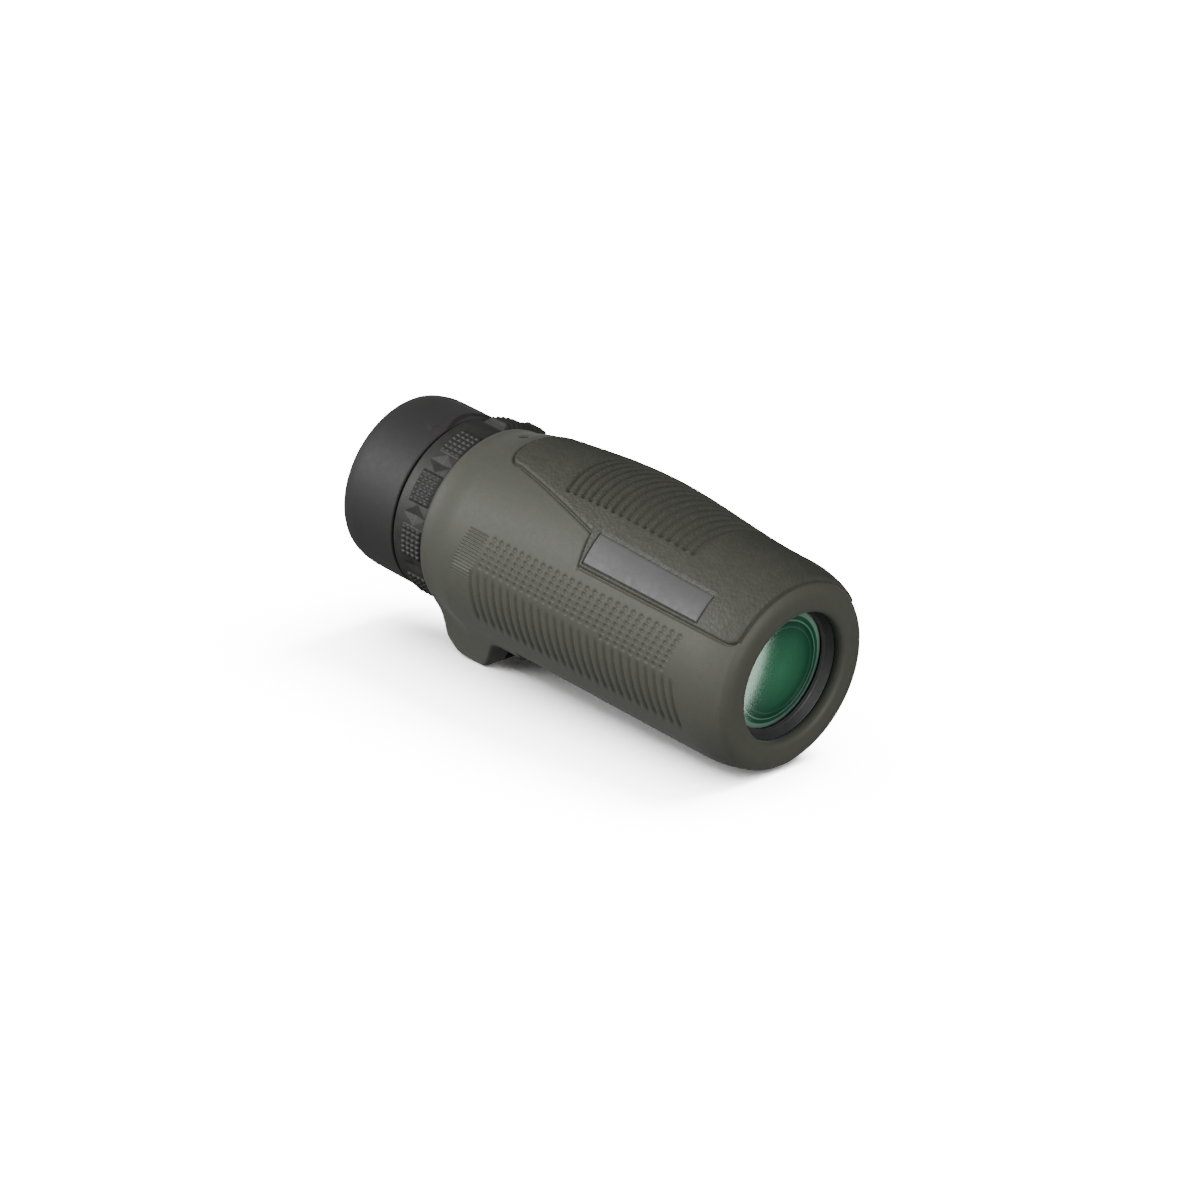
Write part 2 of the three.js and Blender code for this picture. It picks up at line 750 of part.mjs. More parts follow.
function eyecupCore() {
  const ring = solid(tube(-110.3, SLEEVE_REAR_X - 0.5, 16.3, SLEEVE_R - 0.1, OUTER_SEGMENTS));
  const tongueLength = CUP_TRAVEL + 1.2;
  const tongue = new THREE.BoxGeometry(tongueLength, 1, 1.9);
  const tongueX = SLEEVE_REAR_X - 0.7 + tongueLength / 2;
  return ring
    .add(solid(tongue.clone().translate(tongueX, TONGUE_R, 0)))
    .add(solid(tongue.clone().translate(tongueX, -TONGUE_R, 0)));
}

function eyecup() {
  return turned(
    [
      [CUP_FRONT_X, CUP_R - CUP_WALL],
      [CUP_FRONT_X, CUP_R - 0.15],
      [CUP_FRONT_X - 0.5, CUP_R],
      [CUP_REAR_X + 4, CUP_R - 0.1],
      [CUP_REAR_X + 1.2, CUP_R - 0.5],
      [CUP_REAR_X + 0.3, CUP_R - 1.3],
      [CUP_REAR_X, CUP_R - 2.3],
      [CUP_REAR_X, CUP_R - 3],
      [CUP_REAR_X + 0.4, CUP_R - 3.7],
      [-108.3, 14.3],
      [-108.3, 15.3],
      [-110.7, 16],
      [-110.7, CUP_R - CUP_WALL],
    ],
    OUTER_SEGMENTS,
  );
}

// ---- The assembly -------------------------------------------------------------------------

const optics = new THREE.Group();

function add(name, shape, material) {
  const geometry = shape.isBufferGeometry ? shape : geometryOf(shape);
  const mesh = new THREE.Mesh(geometry, material);
  mesh.name = name;
  optics.add(mesh);
}

const bodyShape = bodyBlank(0);
add("body_armour", bodyArmour(bodyShape), ARMOUR_GREEN);
add("top_grip_panel", topGripPanel(), PANEL_GREEN);
add("name_plate", namePlate(), PLATE_GREY);
add("focus_index_mark", focusIndexMark(bodyShape), BLACK_PLASTIC);

add("housing_tube", housingTube(), MAGNESIUM);
add("rear_collar", rearCollar(), BLACKENED_METAL);
add("guide_screw", guideScrew(), BRIGHT_STEEL);

add("objective_retaining_ring", objectiveRetainingRing(), BLACKENED_METAL);
add("objective_cell", objectiveCell(), BLACKENED_METAL);
add("objective_crown_lens", objectiveCrown(), COATED_GLASS);
add("objective_flint_lens", objectiveFlint(), CLEAR_GLASS);
add("objective_baffle", objectiveBaffle(), BLACK_PLASTIC);

add("prism_cage", prismCage(), BLACK_PLASTIC);
add("half_penta_prism", halfPentaPrism(), CLEAR_GLASS);
add("schmidt_roof_prism", schmidtRoofPrism(), CLEAR_GLASS);
add("prism_clip_near", prismClip(-1), BRIGHT_STEEL);
add("prism_clip_far", prismClip(1), BRIGHT_STEEL);
CAGE_SCREW_ANGLES.forEach((angle, i) => {
  add(`cage_screw_${i + 1}`, cageScrew(angle), BRIGHT_STEEL);
});

add("focus_ring", focusRing(), BLACK_PLASTIC);
add("focus_grip", focusGrip(), BLACK_RUBBER);

add("ocular_barrel", ocularBarrel(), BLACK_PLASTIC);
add("ocular_seal_ring", sealRing(-91.2, 14.05, 0.45), BLACK_RUBBER);
add("field_stop", fieldStop(), BLACKENED_METAL);
add("field_lens", lens(-82.6, 4.2, OCULAR_LENS_R, 30, 0), CLEAR_GLASS);
add("front_spacer", tube(-91.4, -87.1, 10.6, OCULAR_LENS_R), BLACKENED_METAL);
add("ocular_crown_lens", lens(-91.7, 4.6, OCULAR_LENS_R, 60, -45), CLEAR_GLASS);
add("ocular_flint_lens", lens(-96.6, 1.6, OCULAR_LENS_R, -45, 0), CLEAR_GLASS);
add("rear_spacer", tube(-100.6, -98.5, 10.8, OCULAR_LENS_R), BLACKENED_METAL);
add("eye_lens", lens(-99.2, 4.4, OCULAR_LENS_R, 34, 0), COATED_GLASS);
add("eye_lens_retainer", eyeLensRetainer(), BLACK_PLASTIC);
add("sleeve_retainer", sleeveRetainer(), BLACKENED_METAL);

add("eyecup_cam_sleeve", eyecupCamSleeve(), BLACK_PLASTIC);
add("eyecup_core", eyecupCore(), BLACK_PLASTIC);
add("eyecup", eyecup(), BLACK_RUBBER);

// Lying on a table, the instrument rests on the front corner of its lug and the facet under its
// nose, so its slope is the least steep line from that corner that clears the whole nose.
const facetDepth = Math.cos(Math.PI / BODY_SEGMENTS);
const slopes = BODY_STATIONS.filter((x) => x > BULGE_X).map(
  (x) => (LUG_DEPTH - bodyRadius(x, Math.PI) * facetDepth) / (x - LUG_FRONT_X),
);
optics.rotation.y = Math.atan(Math.min(...slopes));
optics.updateMatrixWorld(true);
const bounds = new THREE.Box3().setFromObject(optics, true);
const centre = bounds.getCenter(new THREE.Vector3());
optics.position.set(-centre.x, -centre.y, -bounds.min.z);

const monocular = new THREE.Group();
monocular.add(optics);

export default monocular;
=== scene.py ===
# A compact rubber-armoured roof-prism monocular, lying on its lanyard lug and its nose.
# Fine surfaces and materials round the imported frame. Shapes are drawn in millimetres in the
# optical frame: X along the optical axis with the front face of the rim at 0, Z towards the top.
# A place on the body is given by x and an angle from the top, positive towards the name plate.
import json
import math

import bmesh
import bpy
import numpy as np
from mathutils import Matrix, Vector, noise


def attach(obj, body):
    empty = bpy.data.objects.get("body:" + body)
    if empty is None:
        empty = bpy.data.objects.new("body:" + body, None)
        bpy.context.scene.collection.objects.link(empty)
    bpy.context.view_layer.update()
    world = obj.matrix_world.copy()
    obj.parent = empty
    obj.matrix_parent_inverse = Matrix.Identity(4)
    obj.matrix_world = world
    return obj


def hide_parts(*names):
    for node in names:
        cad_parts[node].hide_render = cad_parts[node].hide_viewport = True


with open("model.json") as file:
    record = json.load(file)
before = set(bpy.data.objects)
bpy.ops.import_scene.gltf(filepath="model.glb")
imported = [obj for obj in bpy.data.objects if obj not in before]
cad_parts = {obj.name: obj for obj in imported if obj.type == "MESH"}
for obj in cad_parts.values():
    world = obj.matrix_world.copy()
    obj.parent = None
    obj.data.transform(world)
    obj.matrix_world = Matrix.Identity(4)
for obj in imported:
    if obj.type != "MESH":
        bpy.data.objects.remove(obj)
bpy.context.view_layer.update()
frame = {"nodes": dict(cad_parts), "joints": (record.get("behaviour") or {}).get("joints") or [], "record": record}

MM = 0.001
FOCUS_PIVOT_X = -91.0  # where the focus ring's pivot lies on the optical axis


def optical_frame():
    """The optical frame's place in the row frame, worked out from the focus ring's joint."""
    joint = next(j for j in frame["joints"] if j["name"] == "focus_turn")
    forward = -Vector(joint["axis"]).normalized()
    side = Vector((0, 1, 0))
    turn = Matrix((forward, side, forward.cross(side))).transposed()
    origin = Vector(joint["pos_m"]) - forward * FOCUS_PIVOT_X * MM
    return np.array(turn), np.array(origin)


OPTICAL_TURN, OPTICAL_ORIGIN = optical_frame()


def to_row(points):
    """Millimetres in the optical frame to metres in the row frame."""
    return np.asarray(points, float) * MM @ OPTICAL_TURN.T + OPTICAL_ORIGIN


# ---- Camera, floor and lights --------------------------------------------------------------

CAMERA_TARGET = (0.02396, -0.02322, 0.03328)
CAMERA_DISTANCE = 1.0
CAMERA_AZIMUTH = 43.57
CAMERA_ELEVATION = 21.52
CAMERA_ROLL = 2.87
CAMERA_LENS = 152.6


def direction(azimuth, elevation):
    """The unit vector from the object towards a viewer, azimuth 0 being in front of -Y."""
    az, el = math.radians(azimuth), math.radians(elevation)
    return Vector((math.sin(az) * math.cos(el), -math.cos(az) * math.cos(el), math.sin(el)))


def facing(position, target, roll=0.0):
    """A matrix that stands at a position with -Z towards the target and +Y upwards."""
    back = (Vector(position) - Vector(target)).normalized()
    right = Vector((0, 0, 1)).cross(back).normalized()
    turn = Matrix((right, back.cross(right), back)).transposed().to_4x4()
    return Matrix.Translation(position) @ turn @ Matrix.Rotation(math.radians(roll), 4, "Z")


def add_camera():
    data = bpy.data.cameras.new("camera")
    data.lens = CAMERA_LENS
    data.sensor_width = 36
    camera = bpy.data.objects.new("camera", data)
    back = direction(CAMERA_AZIMUTH, CAMERA_ELEVATION)
    position = Vector(CAMERA_TARGET) + back * CAMERA_DISTANCE
    camera.matrix_world = facing(position, CAMERA_TARGET, CAMERA_ROLL)
    bpy.context.scene.collection.objects.link(camera)
    bpy.context.scene.camera = camera


def area_light(name, azimuth, elevation, distance, size, power, only=None):
    data = bpy.data.lights.new(name, "AREA")
    data.shape = "RECTANGLE"
    data.size, data.size_y = size
    data.energy = power
    light = bpy.data.objects.new(name, data)
    target = Vector((0, 0, 0.025))
    light.matrix_world = facing(target + direction(azimuth, elevation) * distance, target)
    bpy.context.scene.collection.objects.link(light)
    if only:
        receivers = bpy.data.collections.new(name + "_receivers")
        receivers.objects.link(only)
        light.light_linking.receiver_collection = receivers


def add_studio():
    bpy.ops.mesh.primitive_plane_add(size=12, location=(0, 0, 0))
    floor = bpy.context.object
    floor.name = "floor"
    floor.data.materials.append(pale_floor())
    floor.visible_diffuse = False  # the floor's glow doesn't light the object from below
    floor.visible_glossy = False
    floor.visible_shadow = False  # the lens glint shines up through it
    world = bpy.data.worlds.new("studio")
    bpy.context.scene.world = world
    world.use_nodes = True
    background = world.node_tree.nodes["Background"]
    background.inputs["Color"].default_value = (1, 1, 1, 1)
    background.inputs["Strength"].default_value = 0.1
    area_light("key_left", -36, 26, 1.2, (0.8, 0.6), 14)
    area_light("fill_front", 72, 24, 1.4, (1.0, 0.8), 15)
    area_light("fill_low", 0, 5, 1.5, (1.2, 0.4), 3)
    area_light("floor_wash", 0, 89, 1.4, (3.0, 3.0), 520, only=floor)
    area_light("floor_back", 170, 58, 1.6, (0.9, 0.9), 300, only=floor)


# ---- Materials -----------------------------------------------------------------------------


def new_material(name):
    material = bpy.data.materials.new(name)
    material.use_nodes = True
    nodes, links = material.node_tree.nodes, material.node_tree.links
    return material, nodes, links, nodes["Principled BSDF"]


def rgba(color):
    return (*color, 1.0)


def noise_node(nodes, links, cell_mm, detail=3.0, stretch=(1, 1, 1)):
    """A noise texture in the object's own space, with features about cell_mm across."""
    coords = nodes.new("ShaderNodeTexCoord")
    mapping = nodes.new("ShaderNodeMapping")
    mapping.inputs["Scale"].default_value = stretch
    texture = nodes.new("ShaderNodeTexNoise")
    texture.inputs["Scale"].default_value = 1 / (cell_mm * MM)
    texture.inputs["Detail"].default_value = detail
    links.new(coords.outputs["Object"], mapping.inputs["Vector"])
    links.new(mapping.outputs["Vector"], texture.inputs["Vector"])
    return texture.outputs["Fac"]


def mottled_color(nodes, links, bsdf, dark, light, cell_mm):
    ramp = nodes.new("ShaderNodeValToRGB")
    ramp.color_ramp.elements[0].position = 0.3
    ramp.color_ramp.elements[0].color = rgba(dark)
    ramp.color_ramp.elements[1].position = 0.7
    ramp.color_ramp.elements[1].color = rgba(light)
    links.new(noise_node(nodes, links, cell_mm), ramp.inputs["Fac"])
    links.new(ramp.outputs["Color"], bsdf.inputs["Base Color"])


def varied_roughness(nodes, links, bsdf, low, high, cell_mm):
    span = nodes.new("ShaderNodeMapRange")
    span.inputs["From Min"].default_value = 0.3
    span.inputs["From Max"].default_value = 0.7
    span.inputs["To Min"].default_value = low
    span.inputs["To Max"].default_value = high
    links.new(noise_node(nodes, links, cell_mm), span.inputs["Value"])
    links.new(span.outputs["Result"], bsdf.inputs["Roughness"])


def add_bump(nodes, links, bsdf, height, depth_mm):
    bump = nodes.new("ShaderNodeBump")
    bump.inputs["Strength"].default_value = 1.0
    bump.inputs["Distance"].default_value = depth_mm * MM
    links.new(height, bump.inputs["Height"])
    previous = bsdf.inputs["Normal"]
    if previous.is_linked:
        links.new(previous.links[0].from_socket, bump.inputs["Normal"])
    links.new(bump.outputs["Normal"], previous)


def moulded_rubber(name, dark, light, roughness, grain_mm, grain_depth, sheen=0.0):
    material, nodes, links, bsdf = new_material(name)
    mottled_color(nodes, links, bsdf, dark, light, 1.6)
    varied_roughness(nodes, links, bsdf, roughness - 0.02, roughness + 0.02, 1.2)
    add_bump(nodes, links, bsdf, noise_node(nodes, links, grain_mm), grain_depth)
    bsdf.inputs["Specular IOR Level"].default_value = 0.4
    if sheen:
        bsdf.inputs["Sheen Weight"].default_value = sheen
        bsdf.inputs["Sheen Roughness"].default_value = 0.5
    return material


def leather_grained_rubber(name, dark, light, roughness):
    material, nodes, links, bsdf = new_material(name)
    mottled_color(nodes, links, bsdf, dark, light, 2.4)
    varied_roughness(nodes, links, bsdf, roughness - 0.08, roughness + 0.08, 0.8)
    coords = nodes.new("ShaderNodeTexCoord")
    cells = nodes.new("ShaderNodeTexVoronoi")
    cells.feature = "F1"
    cells.inputs["Scale"].default_value = 1 / (0.6 * MM)
    links.new(coords.outputs["Object"], cells.inputs["Vector"])
    add_bump(nodes, links, bsdf, cells.outputs["Distance"], -0.09)
    add_bump(nodes, links, bsdf, noise_node(nodes, links, 0.5), 0.06)
    bsdf.inputs["Specular IOR Level"].default_value = 0.45
    return material


def moulded_plastic(name, dark, light, roughness):
    material, nodes, links, bsdf = new_material(name)
    mottled_color(nodes, links, bsdf, dark, light, 4)
    varied_roughness(nodes, links, bsdf, roughness - 0.05, roughness + 0.05, 1.5)
    add_bump(nodes, links, bsdf, noise_node(nodes, links, 0.25), 0.006)
    return material


def turned_metal(name, dark, light, roughness, metallic=0.9):
    """Metal with fine tool marks round the optical axis, which is nearly the object's X."""
    material, nodes, links, bsdf = new_material(name)
    mottled_color(nodes, links, bsdf, dark, light, 3)
    varied_roughness(nodes, links, bsdf, roughness - 0.07, roughness + 0.07, 1.0)
    marks = noise_node(nodes, links, 1.2, 2.0, stretch=(14, 1, 1))
    add_bump(nodes, links, bsdf, marks, 0.01)
    bsdf.inputs["Metallic"].default_value = metallic
    return material


def glass(name, tint, alpha, coat_tint):
    """Coated glass: its tinted reflection is the coating's, and it lets some of the inside show."""
    material, nodes, links, bsdf = new_material(name)
    mottled_color(nodes, links, bsdf, tint, tuple(c * 1.12 for c in tint), 9)
    bsdf.inputs["Roughness"].default_value = 0.16
    bsdf.inputs["IOR"].default_value = 1.6
    bsdf.inputs["Specular Tint"].default_value = rgba(coat_tint)
    bsdf.inputs["Alpha"].default_value = alpha
    return material


LENS_PAINTED_RINGS = [  # (distance from the axis in millimetres, color), as the cell shows in the glass: the lens's green tint and pale edge, with painted highlight lines and painted shade bands
    (0, (0.024, 0.14, 0.07)), (7, (0.014, 0.085, 0.042)),
    (9.0, (0.008, 0.05, 0.025)), (9.2, (0.03, 0.11, 0.065)), (9.4, (0.009, 0.055, 0.028)),
    (10.3, (0.006, 0.035, 0.017)), (10.5, (0.1, 0.24, 0.16)), (10.8, (0.009, 0.05, 0.026)),
    (11.5, (0.014, 0.08, 0.045)), (11.65, (0.13, 0.23, 0.175)), (12.9, (0.16, 0.25, 0.2)),
]


def painted_ring_glass(name, alpha, coat_tint):
    """The front lens, with the steps of its cell showing as rings round the optical axis: painted highlight lines
    and painted shade bands over the glass's green tint.
    """
    material = glass(name, LENS_PAINTED_RINGS[0][1], alpha, coat_tint)
    nodes, links = material.node_tree.nodes, material.node_tree.links
    bsdf = next(node for node in nodes if node.type == "BSDF_PRINCIPLED")
    coords = nodes.new("ShaderNodeTexCoord")
    from_axis = nodes.new("ShaderNodeVectorMath")
    from_axis.operation = "SUBTRACT"
    from_axis.inputs[1].default_value = OPTICAL_ORIGIN
    crossed = nodes.new("ShaderNodeVectorMath")
    crossed.operation = "CROSS_PRODUCT"
    crossed.inputs[1].default_value = OPTICAL_TURN[:, 0]
    length = nodes.new("ShaderNodeVectorMath")
    length.operation = "LENGTH"
    outermost = LENS_PAINTED_RINGS[-1][0]
    share = nodes.new("ShaderNodeMath")
    share.operation = "DIVIDE"
    share.inputs[1].default_value = outermost * MM
    ramp = nodes.new("ShaderNodeValToRGB")
    stops = ramp.color_ramp.elements
    stops[0].color = rgba(LENS_PAINTED_RINGS[0][1])
    stops[1].color = rgba(LENS_PAINTED_RINGS[-1][1])
    for radius, color in LENS_PAINTED_RINGS[1:-1]:
        stops.new(radius / outermost).color = rgba(color)
    links.new(coords.outputs["Object"], from_axis.inputs[0])
    links.new(from_axis.outputs["Vector"], crossed.inputs[0])
    links.new(crossed.outputs["Vector"], length.inputs[0])
    links.new(length.outputs["Value"], share.inputs[0])
    links.new(share.outputs["Value"], ramp.inputs["Fac"])
    links.new(ramp.outputs["Color"], bsdf.inputs["Base Color"])
    return material


def pale_floor():
    material, nodes, links, bsdf = new_material("pale_floor")
    mottled_color(nodes, links, bsdf, (0.86, 0.86, 0.86), (0.88, 0.88, 0.88), 400)
    bsdf.inputs["Roughness"].default_value = 0.9
    bsdf.inputs["Specular IOR Level"].default_value = 0.0
    return material


MATERIALS = {
    "armour_rubber": moulded_rubber(
        "armour_rubber", (0.082, 0.085, 0.067), (0.088, 0.091, 0.072), 0.58, 0.16, 0.012, 0.1
    ),
    "grip_rubber": leather_grained_rubber(
        "grip_rubber", (0.066, 0.068, 0.055), (0.077, 0.079, 0.064), 0.58
    ),
    "name_plate": moulded_plastic("name_plate", (0.09, 0.09, 0.09), (0.1, 0.1, 0.1), 0.5),
    "black_rubber": moulded_rubber(
        "black_rubber", (0.034, 0.033, 0.033), (0.044, 0.043, 0.042), 0.55, 0.2, 0.012
    ),
    "eyecup_rubber": moulded_rubber(
        "eyecup_rubber", (0.034, 0.032, 0.032), (0.037, 0.035, 0.035), 0.6, 0.12, 0.008, 0.05
    ),
    "black_plastic": moulded_plastic(
        "black_plastic", (0.032, 0.032, 0.032), (0.042, 0.042, 0.042), 0.45
    ),
    "black_metal": turned_metal(
        "black_metal", (0.07, 0.07, 0.071), (0.085, 0.085, 0.087), 0.45, 0.5
    ),
    "magnesium": turned_metal("magnesium", (0.28, 0.29, 0.3), (0.34, 0.35, 0.36), 0.5),
    "steel": turned_metal("steel", (0.5, 0.5, 0.5), (0.6, 0.6, 0.6), 0.32, 1.0),
    "coated_glass": glass("coated_glass", (0.012, 0.06, 0.03), 0.8, (0.5, 1.0, 0.7)),
    # the front lens's glass, with rings of painted highlight and painted shade
    "painted_ring_glass": painted_ring_glass("coated_glass_front", 0.9, (0.62, 1.0, 0.78)),
    "clear_glass": glass("clear_glass", (0.05, 0.09, 0.08), 0.5, (0.7, 1.0, 0.85)),
}


def finish_cad_nodes():
    """Every CAD node takes its slot's material, also those that a finer piece replaces."""
    for part in frame["record"]["subparts"]:
        data = frame["nodes"][part["node"]].data
        data.materials.clear()
        data.materials.append(MATERIALS[part["material_slot"]])


# ---- Mesh tools ----------------------------------------------------------------------------


def smooth(value, start, end):
    t = np.clip((value - start) / (end - start), 0, 1)
    return t * t * (3 - 2 * t)


def blend_max(a, b, reach):
    """The larger of two surfaces, with a fillet where they cross."""
    share = np.clip(0.5 + 0.5 * (a - b) / reach, 0, 1)
    return a * share + b * (1 - share) + reach * share * (1 - share)


def blend_min(a, b, reach):
    return -blend_max(-a, -b, reach)


def around(x, radius, angle):
    """Points of the optical frame from a place along it, a radius and an angle from the top."""
    return np.stack([x, -radius * np.sin(angle), radius * np.cos(angle)], axis=-1)


def grid_faces(rows, columns, close_rows, close_columns):
    """Quads of a grid of points whose rows and columns may run round on themselves."""
    i = np.arange(rows if close_rows else rows - 1)[:, None]
    j = np.arange(columns if close_columns else columns - 1)[None, :]
    below, beside = (i + 1) % rows, (j + 1) % columns
    corners = [i * columns + j, i * columns + beside, below * columns + beside, below * columns + j]
    return np.stack(corners, axis=-1).reshape(-1, 4)


def add_piece(name, points, faces, node, body, slot):
    """A mesh piece from optical-frame millimetres that stands for a CAD node and rides on a body."""
    mesh = bpy.data.meshes.new(name)
    mesh.from_pydata(to_row(points).tolist(), [], [tuple(f) for f in faces])
    mesh.validate()
    mesh.materials.append(MATERIALS[slot])
    mesh.shade_smooth()
    piece = bpy.data.objects.new(name, mesh)
    bpy.context.scene.collection.objects.link(piece)
    face_outwards(piece)
    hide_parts(node)
    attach(piece, body)
    return piece


def face_outwards(piece):
    work = bmesh.new()
    work.from_mesh(piece.data)
    bmesh.ops.recalc_face_normals(work, faces=work.faces)
    work.to_mesh(piece.data)
    work.free()


def closed_sheet(top, bottom):
    """Points and faces of two grids of points, joined round their edges by a skirt."""
    rows, columns = top.shape[:2]
    count = rows * columns
    faces = grid_faces(rows, columns, False, False)
    loop = list(range(columns)) + [i * columns + columns - 1 for i in range(1, rows)]
    loop += [(rows - 1) * columns + j for j in range(columns - 2, -1, -1)]
    loop += [i * columns for i in range(rows - 2, 0, -1)]
    skirt = [(a, b, b + count, a + count) for a, b in zip(loop, loop[1:] + loop[:1])]
    points = np.concatenate([top.reshape(-1, 3), bottom.reshape(-1, 3)])
    return points, [*faces.tolist(), *(faces[:, ::-1] + count).tolist(), *skirt]


def rounded_profile(corners, steps=5):
    """A closed outline of (x, r, radius) corners, each corner turned into an arc."""
    points = []
    for i, (x, r, radius) in enumerate(corners):
        here = np.array((x, r))
        before = np.array(corners[i - 1][:2]) - here
        after = np.array(corners[(i + 1) % len(corners)][:2]) - here
        reach_before, reach_after = np.linalg.norm(before), np.linalg.norm(after)
        reach = min(radius, 0.48 * reach_before, 0.48 * reach_after)
        if reach <= 0:
            points.append(here)
            continue
        start, end = here + before / reach_before * reach, here + after / reach_after * reach
        for t in np.linspace(0, 1, steps):
            points.append((1 - t) ** 2 * start + 2 * t * (1 - t) * here + t * t * end)
    return np.array(points)


def turned(name, corners, node, body, slot, segments=128):
    """A ring turned round the optical axis from (x, r, rounding) corners."""
    profile = rounded_profile(corners)
    angle = np.linspace(0, 2 * math.pi, segments, endpoint=False)
    points = around(
        profile[:, 0][:, None] + 0 * angle, profile[:, 1][:, None] + 0 * angle, angle[None, :]
    ).reshape(-1, 3)
    faces = grid_faces(len(profile), segments, True, True)
    return add_piece(name, points, faces, node, body, slot)


# ---- Body armour ---------------------------------------------------------------------------

BODY_REAR_X = -86.3
BODY_R = 21.7
COLLAR_DROP = 1.4
NOSE_DROP = 2.1
BULGE = 2.85
BULGE_X = -48
BULGE_REACH = 38
OPENING_R = 14
LIP_DEPTH = 2.1
BORE_R = 19.9
REAR_BORE_R = 18.9
FRONT_BORE_R = 17.6
BORE_REAR_X = -79.3
BORE_FRONT_X = -12


def body_radius(x, angle):
    collar = COLLAR_DROP * (1 - smooth(x, -85, -77))
    nose = NOSE_DROP * np.clip((x + 10) / 10, 0, 1) ** 2
    lengthwise = np.cos(np.clip((x - BULGE_X) / BULGE_REACH, -1, 1) * math.pi / 2) ** 2
    crosswise = ((1 + np.cos(angle)) / 2) ** 2
    return BODY_R - collar - nose + BULGE * lengthwise * crosswise


LUG_SIDE = [
    (-86.3, 18), (-86.3, 23.2), (-85.5, 25.8), (-84, 27.6), (-76, 27.6), (-74.8, 26.8),
    (-72.5, 21.5), (-70, 18),
]
LUG_FLANK = (0.9267, 0.3757, 17.8)  # the flank's outward normal, and its distance from the axis
LUG_EDGE_ROUNDING = 1.0
LUG_FILLET = 2.6


def lug_radius(x, angle):
    """The lanyard lug's surface, or nothing away from the bottom."""
    xs, depths = zip(*LUG_SIDE[1:])
    depth = np.mean([np.interp(x + shift, xs, depths) for shift in (-1.4, -0.7, 0, 0.7, 1.4)], 0)
    down = -np.cos(angle)
    bottom = depth / np.maximum(down, 0.3)
    flank = LUG_FLANK[2] / (LUG_FLANK[0] * np.abs(np.sin(angle)) + LUG_FLANK[1] * np.abs(down))
    lug = blend_min(bottom, flank, LUG_EDGE_ROUNDING)
    return np.where((down > 0.5) & (x < -62), lug, 0)


DIMPLE_FIRST_X = -65.2
DIMPLE_PITCH = 2.06
DIMPLE_COLUMNS = 26
DIMPLE_TOP = 66.6
DIMPLE_ROW_STEP = 3.3
DIMPLE_LEAN = 0.11  # millimetres towards the eye for each degree down the side
DIMPLE_DEPTH = 0.3
GROOVE_FIRST_X = -69.7
GROOVE_PITCH = 2.25
GROOVES = 26
GROOVE_START = 85.5
GROOVE_END = 122.0
GROOVE_DEPTH = 0.4
LINE_TOP = 65.8
LINE_PITCH = 2.0
LINE_LEAN = 0.12
LINE_DEPTH = 0.3


def dimple_depth(x, degrees, lowest):
    row = np.maximum(np.round((degrees - DIMPLE_TOP) / DIMPLE_ROW_STEP), 0)
    row_degrees = DIMPLE_TOP + row * DIMPLE_ROW_STEP
    upright_x = x + DIMPLE_LEAN * (row_degrees - DIMPLE_TOP)
    column = np.round((upright_x - DIMPLE_FIRST_X) / DIMPLE_PITCH)
    column = np.clip(column, 0, DIMPLE_COLUMNS - 1)
    across = np.radians(degrees - row_degrees) * BODY_R
    along = upright_x - (DIMPLE_FIRST_X + column * DIMPLE_PITCH)
    distance = np.hypot(across, along)
    shape = (1 - smooth(distance, 0.3, 0.68)) - 0.35 * (1 - smooth(distance, 0.0, 0.3))
    return DIMPLE_DEPTH * np.where(row_degrees < lowest, shape, 0)


def groove_depth(x, degrees, forward):
    lean = (0.04 + 0.035 * forward) * (degrees - GROOVE_START)
    groove = np.clip(np.round((x - lean - GROOVE_FIRST_X) / GROOVE_PITCH), 0, GROOVES - 1)
    off = np.abs(x - lean - (GROOVE_FIRST_X + groove * GROOVE_PITCH))
    start = GROOVE_START + 3 * forward
    ends = smooth(degrees, start, start + 5) * (1 - smooth(degrees, GROOVE_END - 5, GROOVE_END))
    return GROOVE_DEPTH * ends * (1 - smooth(off, 0.08, 0.78))


def line_depth(x, degrees):
    """Fine lines along the body behind the dimples, fading towards the bottom."""
    upright_x = x + LINE_LEAN * (degrees - LINE_TOP)
    within = smooth(upright_x, -72.5, -72.0) * (1 - smooth(upright_x, -67.2, -66.7))
    fade = smooth(degrees, LINE_TOP, LINE_TOP + 0.8) * (1 - smooth(degrees, 82, 104))
    wave = 0.5 - 0.5 * np.cos(2 * math.pi * (degrees - LINE_TOP) / LINE_PITCH)
    return LINE_DEPTH * within * fade * wave


def side_grip_depth(x, angle):
    degrees = np.degrees(np.abs(np.arctan2(np.sin(angle), np.cos(angle))))
    forward = np.clip((x - GROOVE_FIRST_X) / (GROOVES * GROOVE_PITCH), 0, 1)
    depth = dimple_depth(x, degrees, GROOVE_START - 1 + 3 * forward)
    depth = np.maximum(depth, groove_depth(x, degrees, forward))
    return np.maximum(depth, line_depth(x, degrees))


MOAT_WIDTH = 0.4
MOAT_DEPTH = 0.36
LIP_HEIGHT = 0.02


def panel_moat(x, angle):
    """The fine groove round the grip panel, and the low lip outside it."""
    turn = np.arctan2(np.sin(angle), np.cos(angle))
    outside = panel_distance(x, turn * PANEL_UNROLL_R)
    moat = MOAT_DEPTH * (1 - smooth(np.abs(outside - 0.15), 0.18, 0.18 + MOAT_WIDTH / 2))
    lip = LIP_HEIGHT * (1 - smooth(np.abs(outside - 0.9), 0.1, 0.45))
    return moat - lip


MARK_X = -79.3
MARK_POCKET_DEPTH = 0.55
MARK_POCKET = (1.0, 1.4)  # half its length along the body, and half its width across
MARK_INLAY = (0.75, 1.15)


